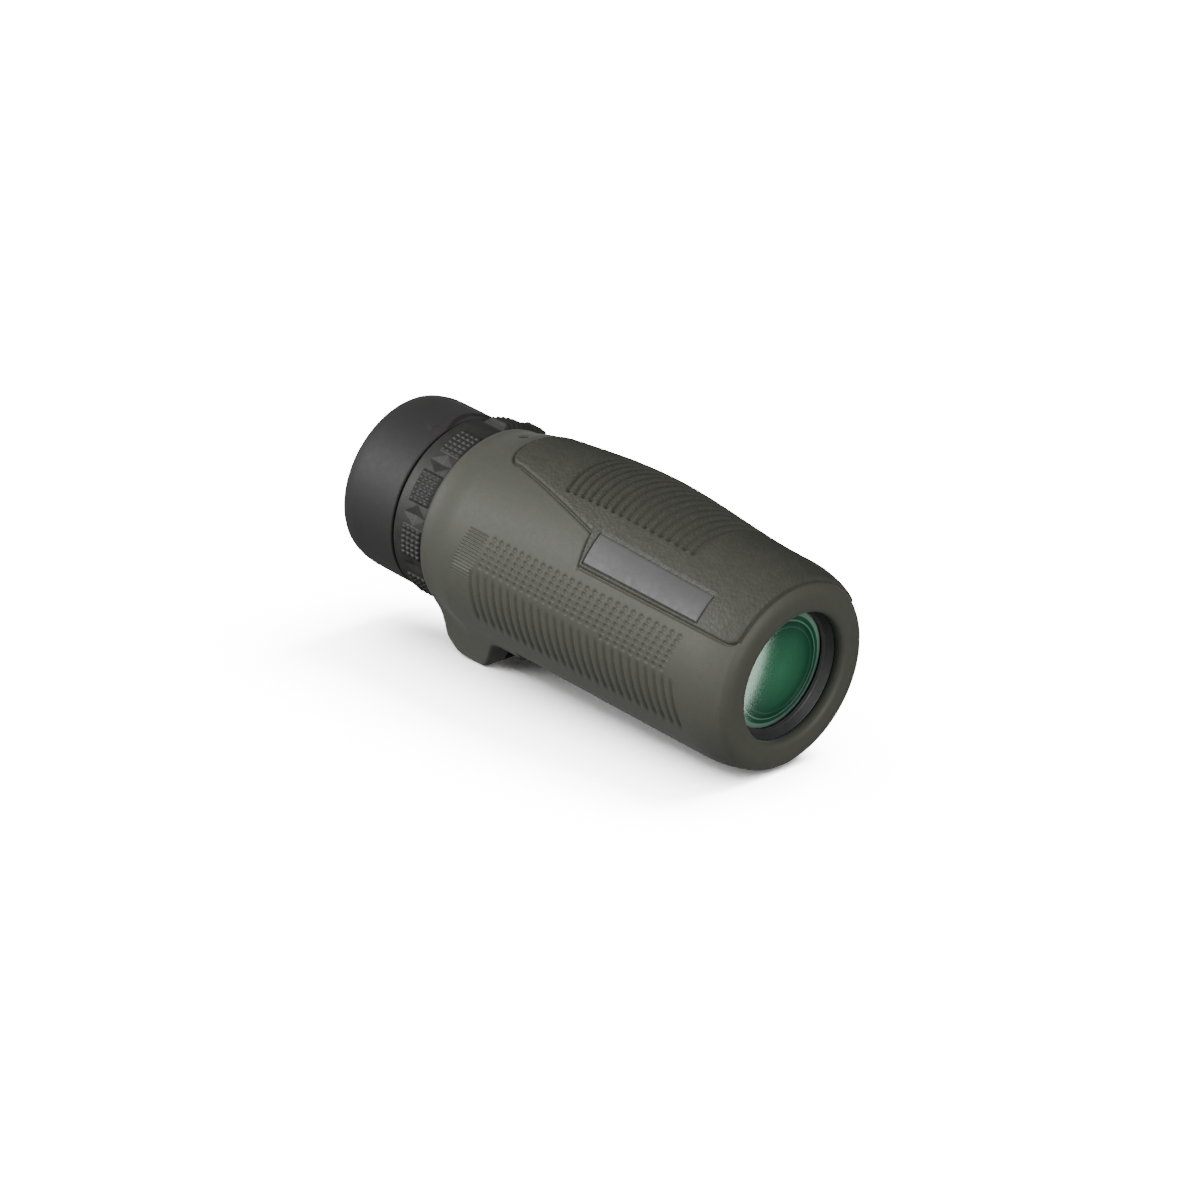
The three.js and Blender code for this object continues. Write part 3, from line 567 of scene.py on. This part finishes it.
def mark_pocket(x, angle):
    across = np.arctan2(np.sin(angle), np.cos(angle)) * BODY_R
    share = np.hypot((x - MARK_X) / MARK_POCKET[0], across / MARK_POCKET[1])
    return MARK_POCKET_DEPTH * (1 - smooth(share, 0.8, 1.05))


def armour_surface(x, angle):
    body = body_radius(x, angle) - side_grip_depth(x, angle) - panel_moat(x, angle)
    body -= mark_pocket(x, angle)
    return blend_max(body, lug_radius(x, angle), LUG_FILLET)


def armour_angles():
    """Angles round the body, closer together over the textured sides."""
    half = np.concatenate([
        np.arange(0, 5, 0.5), np.arange(5, 20, 1.5), np.arange(20, 61, 0.45), np.arange(61, 65, 1.0),
        np.arange(65, 90, 0.3), np.arange(90, 123, 0.6), np.arange(123, 180, 1.0),
    ])
    return np.radians(np.concatenate([half, -half[:0:-1], [180]]))


RIM_ROUNDING = [  # (x, how far inside the body's surface)
    (-1.0, 0.06), (-0.6, 0.2), (-0.2, 0.5), (0.1, 0.95), (0.28, 1.5), (0.38, 2.2),
]
RIM_FACE = [  # (x, radius) across the rim's face and into the opening
    (0.4, 16.9), (0.4, 16.0), (0.38, 15.2), (0.28, 14.7), (0.05, 14.3), (-0.3, 14.05),
    (-0.8, OPENING_R), (-LIP_DEPTH, OPENING_R), (-LIP_DEPTH, FRONT_BORE_R),
    (BORE_FRONT_X, FRONT_BORE_R), (BORE_FRONT_X, BORE_R), (BORE_REAR_X, BORE_R),
    (BORE_REAR_X, REAR_BORE_R), (BODY_REAR_X, REAR_BORE_R),
]


def body_armour():
    angle = np.sort(armour_angles() % (2 * math.pi))
    stations = np.concatenate([
        [BODY_REAR_X], np.arange(-86, -79, 0.5), np.arange(-79, -64, 0.3),
        np.arange(-64, -9, 0.22), np.arange(-9, -3, 0.4), np.arange(-3, -1.05, 0.14),
    ])
    rings = []
    for x in stations:
        edge = 0.35 * (1 - smooth(x, BODY_REAR_X, BODY_REAR_X + 0.5))
        rings.append(around(np.full_like(angle, x), armour_surface(x, angle) - edge, angle))
    for x, inset in RIM_ROUNDING:
        rings.append(around(np.full_like(angle, x), body_radius(x, angle) - inset, angle))
    for x, radius in RIM_FACE:
        rings.append(around(np.full_like(angle, x), np.full_like(angle, radius), angle))
    points = np.concatenate(rings)
    faces = grid_faces(len(rings), len(angle), True, True)
    piece = add_piece("armour_shell", points, faces, "body_armour", "body", "armour_rubber")
    cut(piece, strap_eye_cutter())


EYE_DEPTH = 24.1
EYE_HALF_WIDTH = 3.5
EYE_HALF_HEIGHT = 2.45
EYE_CORNER = 1.1


def strap_eye_cutter():
    """A rounded bar along the body through the lug, a little flared at both mouths."""
    outline = []
    for quarter in range(4):
        sign_y = 1 if quarter in (0, 3) else -1
        sign_z = 1 if quarter in (0, 1) else -1
        for step in range(6):
            turn = math.radians(90 * quarter + 18 * step)
            outline.append((
                sign_y * (EYE_HALF_WIDTH - EYE_CORNER) + EYE_CORNER * math.cos(turn),
                sign_z * (EYE_HALF_HEIGHT - EYE_CORNER) + EYE_CORNER * math.sin(turn),
            ))
    points = []
    stations = [(-90, 1.3), (-87, 1.14), (-86, 1.04), (-85, 1.0), (-76, 1.0), (-74.6, 1.04),
                (-70.5, 1.12)]
    for x, flare in stations:
        points += [(x, u * flare, v * flare - EYE_DEPTH) for u, v in outline]
    count = len(outline)
    faces = [tuple(f) for f in grid_faces(len(stations), count, False, True)]
    faces += [tuple(range(count)), tuple(range(len(points) - count, len(points)))[::-1]]
    mesh = bpy.data.meshes.new("strap_eye_cutter")
    mesh.from_pydata(to_row(points).tolist(), [], faces)
    cutter = bpy.data.objects.new("strap_eye_cutter", mesh)
    bpy.context.scene.collection.objects.link(cutter)
    face_outwards(cutter)
    return cutter


def cut(piece, cutter):
    """Cuts the cutter's shape out of a piece for good."""
    modifier = piece.modifiers.new("cut", "BOOLEAN")
    modifier.operation = "DIFFERENCE"
    modifier.solver = "EXACT"
    modifier.object = cutter
    bpy.context.view_layer.update()
    cut_mesh = bpy.data.meshes.new_from_object(
        piece.evaluated_get(bpy.context.evaluated_depsgraph_get())
    )
    piece.modifiers.remove(modifier)
    piece.data = cut_mesh
    bpy.data.objects.remove(cutter)


# ---- Top grip panel, name plate and index mark ---------------------------------------------

PANEL_UNROLL_R = 22.5  # distances across the panel are measured round this radius
PANEL_RISE = 0.6
PANEL_SINK = 0.5
PANEL_EDGE = 0.7
PANEL_CORNER_R = 2.2
PANEL_FRONT_X = -1.5
PANEL_STEP_X = -42.2
PANEL_REAR_X = -75.2
PANEL_END_X = -70.5  # where the rounded rear end starts
PANEL_HALF = 22.97
PANEL_STEP_HALF = 15.98
PANEL_END_HALF = 9.75
RIB_FIRST_X = -57
RIB_LAST_X = -22.6
RIB_GROOVES = 17
RIB_HALF_REACH = 10.6
RIB_FRONT_HALF_REACH = 9.2
RIB_DEPTH = 0.95
RIB_SWEEP = 0.0026  # how much further forward a groove lies, by the square of its degrees
PLATE_X = -26.4
PLATE_ACROSS = 18.77
PLATE_HALF_LENGTH = 15.1
PLATE_HALF_WIDTH = 3.14
PLATE_GAP = 0.3
PLATE_SEAT_DEPTH = 0.45
PLATE_SINK = 0.03  # how far its face lies under the panel's
PLATE_CLEARANCE = 0.04  # between its back and the seat
PLATE_EDGE = 0.2
PLATE_EDGE_DROP = 0.15


def panel_half_width(x):
    turned_in = np.clip((x - PANEL_FRONT_X + PANEL_CORNER_R) / PANEL_CORNER_R, 0, 1)
    corner = PANEL_CORNER_R * (1 - np.sqrt(1 - turned_in ** 2))
    half = np.interp(
        x,
        [PANEL_END_X, PANEL_STEP_X - 1.6, PANEL_STEP_X, PANEL_FRONT_X],
        [PANEL_END_HALF, PANEL_STEP_HALF, PANEL_HALF, PANEL_HALF],
    )
    past = np.clip((PANEL_END_X - x) / (PANEL_END_X - PANEL_REAR_X), 0, 1)
    return half * (1 - past ** 3) ** (1 / 3) - corner


def panel_distance(x, across):
    """How far a place lies outside the panel's outline; negative on the panel."""
    inner_x = np.maximum(x, PANEL_END_X)
    half = panel_half_width(np.minimum(inner_x, PANEL_FRONT_X - 0.01))
    slope = (panel_half_width(np.minimum(inner_x + 0.1, PANEL_FRONT_X - 0.01)) - half) / 0.1
    side = (np.abs(across) - half) / np.sqrt(1 + np.clip(slope, 0, 5) ** 2)
    past = np.maximum(PANEL_END_X - x, 0) / (PANEL_END_X - PANEL_REAR_X)
    share = np.abs(across) / PANEL_END_HALF
    reach = np.maximum((past ** 3 + share ** 3) ** (1 / 3), 0.01)
    steepness = np.hypot(past ** 2 / (PANEL_END_X - PANEL_REAR_X), share ** 2 / PANEL_END_HALF)
    rear = (reach - 1) * reach ** 2 / np.maximum(steepness, 0.01)
    return np.maximum(np.where(x < PANEL_END_X, rear, side), x - PANEL_FRONT_X)


def rib_groove_depth(x, across):
    forward = np.clip((x - RIB_FIRST_X) / (RIB_LAST_X - RIB_FIRST_X), 0, 1)
    degrees = np.degrees(across / PANEL_UNROLL_R)
    straight_x = x - RIB_SWEEP * (1 - 0.6 * forward) * degrees ** 2
    pitch = (RIB_LAST_X - RIB_FIRST_X) / (RIB_GROOVES - 1)
    groove = np.clip(np.round((straight_x - RIB_FIRST_X) / pitch), 0, RIB_GROOVES - 1)
    along = straight_x - (RIB_FIRST_X + groove * pitch)
    half_reach = RIB_HALF_REACH + (RIB_FRONT_HALF_REACH - RIB_HALF_REACH) * forward
    past_end = np.maximum(np.abs(across) - half_reach, 0)
    return RIB_DEPTH * (1 - smooth(np.hypot(along, past_end), 0.36, 0.86))


def plate_distance(x, across):
    """How far a place lies outside the name plate's outline; negative on the plate."""
    return np.maximum(np.abs(x - PLATE_X) - PLATE_HALF_LENGTH,
                      np.abs(across - PLATE_ACROSS) - PLATE_HALF_WIDTH)


LEATHER_FOLD_SIZE = 0.75
LEATHER_FOLD_DEPTH = 0.07


def leather_undulation(points):
    """Shallow folds of the leather grain, in millimetres."""
    folds = [noise.noise(Vector(p) / LEATHER_FOLD_SIZE) for p in points.reshape(-1, 3)]
    return np.array(folds) * LEATHER_FOLD_DEPTH


def panel_stations():
    end = PANEL_REAR_X + (PANEL_END_X - PANEL_REAR_X) * (1 - np.cos(np.linspace(0, 1.5, 28)))
    return np.concatenate([
        end, np.arange(end[-1] + 0.3, -58.6, 0.4), np.arange(-58.6, -44.4, 0.17),
        np.arange(-44.4, -41.2, 0.08), np.arange(-41.2, -21, 0.17), np.arange(-21, -4.2, 0.4),
        np.arange(-4.2, -1.6, 0.1), [-1.55, PANEL_FRONT_X],
    ])


def top_grip_panel():
    x = panel_stations()[:, None]
    half = panel_half_width(x)
    edge = np.array([0, 0.06, 0.14, 0.25, 0.4, 0.55, 0.75])
    inner = np.linspace(1, -1, 120)
    across = np.concatenate([
        half - np.minimum(edge, half * 0.1 * edge), inner * (half - 0.9 * np.minimum(1, half * 0.1)),
        -(half - np.minimum(edge, half * 0.1 * edge))[:, ::-1],
    ], axis=1)
    slope = np.gradient(half[:, 0], x[:, 0])[:, None]
    inside = (half - np.abs(across)) / np.sqrt(1 + slope ** 2)
    inside = np.minimum(inside, PANEL_FRONT_X - x)
    lift = np.sqrt(1 - (1 - np.clip(inside / PANEL_EDGE, 0, 1)) ** 2)
    angle = across / PANEL_UNROLL_R
    base = body_radius(x, angle)
    seat = PLATE_SEAT_DEPTH * (1 - smooth(plate_distance(x, across), 0.2, PLATE_GAP + 0.05))
    radius = base - 0.1 + (PANEL_RISE + 0.1) * lift - seat
    radius -= rib_groove_depth(x, across) * (lift > 0.99)
    xs = np.broadcast_to(x, across.shape)
    top = around(xs, radius, angle)
    bumps = leather_undulation(top).reshape(radius.shape) * (lift > 0.99) * (seat < 0.01)
    top = around(xs, radius + bumps, angle)
    points, faces = closed_sheet(top, around(xs, base - PANEL_SINK, angle))
    add_piece("ribbed_grip_panel", points, faces, "top_grip_panel", "body", "grip_rubber")


def focus_index_mark():
    """The small domed inlay in its pocket at the back of the top."""
    share = np.linspace(0.02, 1, 9)[:, None]
    turn = np.linspace(0, 2 * math.pi, 40, endpoint=False)[None, :]
    x = MARK_X + MARK_INLAY[0] * share * np.cos(turn)
    angle = MARK_INLAY[1] * share * np.sin(turn) / BODY_R
    crown = body_radius(x, angle) - 0.25 - 0.2 * share ** 2
    foot = body_radius(x, angle) - MARK_POCKET_DEPTH - 0.15
    rows, columns = x.shape
    faces = grid_faces(rows, columns, False, True)
    count = rows * columns
    rim = [(rows - 1) * columns + j for j in range(columns)]
    skirt = [(a, b, b + count, a + count) for a, b in zip(rim, rim[1:] + rim[:1])]
    middle = [tuple(range(columns)), tuple(range(count, count + columns))[::-1]]
    points = np.concatenate([around(x, crown, angle).reshape(-1, 3),
                             around(x, foot, angle).reshape(-1, 3)])
    every = [*faces.tolist(), *(faces[:, ::-1] + count).tolist(), *skirt, *middle]
    add_piece("index_inlay", points, every, "focus_index_mark", "body", "black_plastic")


def name_plate():
    """A blank inlaid plate with softly broken edges."""
    u = np.array([0, 0.03, 0.1, 0.2])
    length = np.concatenate([u, np.linspace(0.5, 2 * PLATE_HALF_LENGTH - 0.5, 60),
                             2 * PLATE_HALF_LENGTH - u[::-1]])
    width = np.concatenate([u, np.linspace(0.5, 2 * PLATE_HALF_WIDTH - 0.5, 16),
                            2 * PLATE_HALF_WIDTH - u[::-1]])
    x = (PLATE_X - PLATE_HALF_LENGTH + length)[:, None]
    across = (PLATE_ACROSS - PLATE_HALF_WIDTH + width)[None, :]
    x, across = np.broadcast_arrays(x, across)
    inside = -plate_distance(x, across)
    drop = PLATE_EDGE_DROP * (1 - np.sqrt(1 - (1 - np.clip(inside / PLATE_EDGE, 0, 1)) ** 2))
    angle = across / PANEL_UNROLL_R
    base = body_radius(x, angle)
    top = around(x, base + PANEL_RISE - PLATE_SINK - drop, angle)
    bottom = around(x, base + PANEL_RISE - PLATE_SEAT_DEPTH + PLATE_CLEARANCE, angle)
    points, faces = closed_sheet(top, bottom)
    add_piece("blank_plate", points, faces, "name_plate", "body", "name_plate")


# ---- Objective -----------------------------------------------------------------------------


def lens_profile(front_x, thickness, radius, front_curve, rear_curve, bevel=0.35):
    """Half of a lens's outline from the front apex to the rear apex."""
    r = np.linspace(0, radius - bevel, 24)
    def sag(curve):
        if curve == 0:
            return 0 * r
        return np.sign(curve) * (abs(curve) - np.sqrt(curve ** 2 - r ** 2))
    front = np.stack([front_x - sag(front_curve), r], 1)
    rear = np.stack([front_x - thickness - sag(rear_curve), r], 1)
    edge = np.array([[front[-1][0] - bevel, radius], [rear[-1][0] + bevel, radius]])
    return np.concatenate([front, edge, rear[::-1]])


def lens(name, profile, node, body, slot, segments=128):
    angle = np.linspace(0, 2 * math.pi, segments, endpoint=False)
    ring = profile[1:-1]
    points = around(ring[:, 0][:, None] + 0 * angle, ring[:, 1][:, None] + 0 * angle,
                    angle[None, :]).reshape(-1, 3)
    faces = grid_faces(len(ring), segments, False, True).tolist()
    first, last = len(points), len(points) + 1
    points = np.concatenate([points, [[profile[0][0], 0, 0], [profile[-1][0], 0, 0]]])
    start = (len(ring) - 1) * segments
    for j in range(segments):
        k = (j + 1) % segments
        faces.append((first, k, j))
        faces.append((last, start + j, start + k))
    return add_piece(name, points, faces, node, body, slot)


def objective():
    turned("bevelled_lens_ring", [
        (-2.4, 14.1, 0.1), (-2.4, 15.2, 0.1), (-7.6, 15.2, 0.1), (-7.6, 14.5, 0.1),
        (-4.7, 14.5, 0.1), (-4.55, 12.6, 0.05), (-4.25, 12.6, 0.05), (-4.2, 13.3, 0.15),
    ], "objective_retaining_ring", "body", "black_metal")
    front = lens("front_lens", lens_profile(-3.6, 5.2, 12.9, 62, -48), "objective_crown_lens",
                 "body", "coated_glass")
    # the front lens takes the glass with rings of painted highlight and painted shade
    front.data.materials[0] = MATERIALS["painted_ring_glass"]
    area_light("lens_glint", 119, -30, 0.6, (0.13, 0.34), 1.5, only=front)


# ---- Focus grip ----------------------------------------------------------------------------

GRIP_FRONT_X = -86.6
GRIP_REAR_X = -95.3
GRIP_INNER_R = 18.6
GRIP_BASE_R = 19.3
GRIP_PLACES = 10
GRIP_PADS = 8  # the thumb tab takes the other two places
PAD_PITCH = 360 / GRIP_PLACES
FIRST_PAD_ANGLE = 23.5
PAD_X = -89.9
PAD_HALF_LENGTH = 2.75
PAD_HALF_WIDTH = 3.5
STUD_ROWS = 6
STUD_COLUMNS = 4
TAB_PLACE = -1.5  # in pads from the first one
TAB_HALF_WIDTH = 8.6


def grip_relief(x, degrees):
    """How far the knurled grip stands above its base ring."""
    place = ((degrees - FIRST_PAD_ANGLE) / PAD_PITCH + 2.5) % GRIP_PLACES - 2.5
    along = x - PAD_X
    pad = np.clip(np.round(place), 0, GRIP_PADS - 1)
    across = np.radians(place - pad) * PAD_PITCH * GRIP_BASE_R
    inside = np.minimum(PAD_HALF_LENGTH - np.abs(along), PAD_HALF_WIDTH - np.abs(across))
    plateau = 0.12 * smooth(inside, -0.15, 0.3)
    u = (along / (2 * PAD_HALF_LENGTH) + 0.5) * STUD_COLUMNS
    v = (across / (2 * PAD_HALF_WIDTH) + 0.5) * STUD_ROWS
    stud = np.maximum(np.abs(u % 1 - 0.5), np.abs(v % 1 - 0.5)) * 2
    studs = 0.5 * np.clip(1.4 - 1.4 * stud, 0, 0.8) * (inside > 0)
    pit_place = np.clip(np.floor(place) + 0.5, 0.5, GRIP_PADS - 1.5)
    pit_across = np.radians(place - pit_place) * PAD_PITCH * GRIP_BASE_R
    pit = 0.62 * np.clip(1 - np.abs(pit_across) / 2.3 - np.abs(along) / 3.1, 0, 1)
    tab_across = np.radians(place - TAB_PLACE) * PAD_PITCH * GRIP_BASE_R
    tab_inside = np.minimum(PAD_HALF_LENGTH + 0.4 - np.abs(along),
                            TAB_HALF_WIDTH - np.abs(tab_across))
    on_tab = smooth(tab_inside, -0.3, 1.2)
    step = 1.2 + 1.2 * smooth(-tab_across, 0.5, 3.5)
    ridges = 0.35 * (0.5 + 0.5 * np.cos(2 * math.pi * tab_across / 1.45))
    return plateau + studs - pit + on_tab * (step + ridges)


def focus_grip():
    degrees = np.arange(0, 360, 0.4)
    angle = np.radians(degrees)
    x_steps = np.concatenate([
        [GRIP_REAR_X, GRIP_REAR_X + 0.06, GRIP_REAR_X + 0.18],
        np.arange(GRIP_REAR_X + 0.35, GRIP_FRONT_X - 0.35, 0.155),
        [GRIP_FRONT_X - 0.3, GRIP_FRONT_X - 0.12, GRIP_FRONT_X],
    ])
    rings = []
    for x in x_steps:
        from_end = min(x - GRIP_REAR_X, GRIP_FRONT_X - x)
        ease = 0.4 * (1 - math.sqrt(1 - (1 - min(from_end / 0.4, 1)) ** 2))
        radius = GRIP_BASE_R + grip_relief(x, degrees) - ease
        rings.append(around(np.full_like(angle, x), radius, angle))
    for x in (GRIP_FRONT_X, GRIP_REAR_X):
        rings.append(around(np.full_like(angle, x), np.full_like(angle, GRIP_INNER_R), angle))
    faces = grid_faces(len(rings), len(angle), True, True)
    add_piece("knurled_focus_grip", np.concatenate(rings), faces, "focus_grip", "focus",
              "black_rubber")


# ---- Eyecup and ocular ---------------------------------------------------------------------

CUP_FRONT_X = -95.9
CUP_REAR_X = -112
CUP_R = 19.2
CUP_SCOOP_ANGLE = -6.0  # the middle of the finger scoop in the front edge
CUP_SCOOP_HALF_WIDTH = 24.0
CUP_SCOOP_LENGTH = 2.3
CUP_SCOOP_DEPTH = 0.45
CUP_MARK = (-99.4, 21.5)  # the triangular index mark's middle: x and degrees


def eyecup_relief(x, degrees):
    """How far the eyecup's outside lies under its plain round surface."""
    turn = (degrees - CUP_SCOOP_ANGLE + 180) % 360 - 180
    share = np.clip(np.abs(turn) / CUP_SCOOP_HALF_WIDTH, 0, 1)
    edge_x = CUP_FRONT_X - CUP_SCOOP_LENGTH * np.cos(share * math.pi / 2)
    scoop = CUP_SCOOP_DEPTH * smooth(x - edge_x, -0.05, 0.3) * (share < 1)
    along = x - CUP_MARK[0]
    across = np.radians((degrees - CUP_MARK[1] + 180) % 360 - 180) * CUP_R
    triangle = np.maximum(np.abs(across) - 0.5 * (along + 1.1), along - 0.9)
    return scoop - 0.14 * (1 - smooth(triangle, -0.1, 0.15))


def eyecup():
    profile = rounded_profile([
        (CUP_FRONT_X, 18.1, 0.05), (CUP_FRONT_X, CUP_R, 0.4), (CUP_REAR_X + 3.4, 19.15, 2.0),
        (CUP_REAR_X + 0.6, 18.4, 1.0), (CUP_REAR_X, 17.2, 0.7), (CUP_REAR_X, 15.9, 0.5),
        (CUP_REAR_X + 0.7, 15.3, 0.6), (-108.3, 14.3, 0.2), (-108.3, 15.3, 0.2),
        (-110.7, 16, 0.2), (-110.7, 18.1, 0.3),
    ])
    plain = int(np.argmax(np.linalg.norm(np.roll(profile, -1, 0) - profile, axis=1)[:12]))
    steps = np.linspace(0, 1, 60)[1:-1, None]
    between = profile[plain] * (1 - steps) + profile[plain + 1] * steps
    profile = np.concatenate([profile[:plain + 1], between, profile[plain + 1:]])
    degrees = np.arange(0, 360, 0.9)
    x, degrees = np.broadcast_arrays(profile[:, 0][:, None], degrees[None, :])
    radius = profile[:, 1][:, None] - eyecup_relief(x, degrees) * (profile[:, 1] > 18.7)[:, None]
    points = around(x, radius, np.radians(degrees)).reshape(-1, 3)
    faces = grid_faces(len(profile), x.shape[1], True, True)
    add_piece("rubber_eyecup", points, faces, "eyecup", "eyecup", "eyecup_rubber")


def ocular():
    lens("eye_side_lens", lens_profile(-99.2, 4.4, 11.9, 34, 0), "eye_lens", "ocular",
         "coated_glass")
    turned("eye_lens_bezel", [
        (-107.1, 11.9, 0.1), (-103.9, 11.9, 0.05), (-103.9, 9.4, 0.1), (-104.5, 9.4, 0.2),
        (-107.1, 10.8, 0.2),
    ], "eye_lens_retainer", "ocular", "black_plastic")


add_camera()
add_studio()
finish_cad_nodes()
body_armour()
top_grip_panel()
name_plate()
focus_index_mark()
objective()
focus_grip()
eyecup()
ocular()
